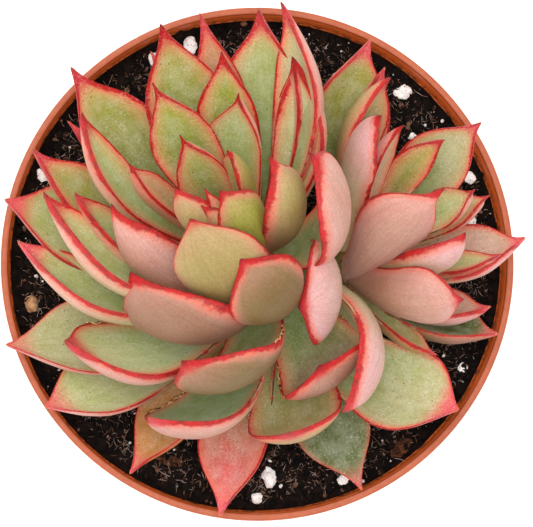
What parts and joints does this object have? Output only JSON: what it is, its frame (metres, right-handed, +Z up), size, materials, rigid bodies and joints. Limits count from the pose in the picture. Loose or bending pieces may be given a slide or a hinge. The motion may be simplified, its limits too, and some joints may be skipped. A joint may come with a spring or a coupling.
{
  "type": "potted echeveria",
  "caption": "Rosette succulent with a leaning main head and an offset, red-edged pointed leaves, in dark soil in a round tapered nursery pot.",
  "frame": {"origin": "centre of the pot's flat base", "axes": "+Z up along the pot's axis, +X to the picture's right and +Y to the picture's top, as seen from above"},
  "size_m": [0.1104, 0.11, 0.1337],
  "materials": {
    "terracotta_plastic": "moulded terracotta-coloured plastic, satin",
    "potting_soil": "damp dark peat with fibres",
    "leaf": "sage green with a waxy bloom, red margins and pinkish backs",
    "perlite": "white, dry and porous",
    "tan_stone": "tan grit, matte",
    "bark": "brown fibrous bark"
  },
  "bodies": {
    "root": {"pot": "terracotta_plastic", "soil": "potting_soil", "rosette_main": "leaf", "rosette_offset": "leaf", "perlite_1": "perlite", "perlite_2": "perlite", "perlite_3": "perlite", "perlite_4": "perlite", "perlite_5": "perlite", "perlite_6": "perlite", "perlite_7": "perlite", "perlite_8": "perlite", "perlite_9": "perlite", "perlite_10": "perlite", "perlite_11": "perlite", "perlite_12": "perlite", "pebble": "tan_stone", "bark_chip_1": "bark", "bark_chip_2": "bark"}
  },
  "joints": []
}
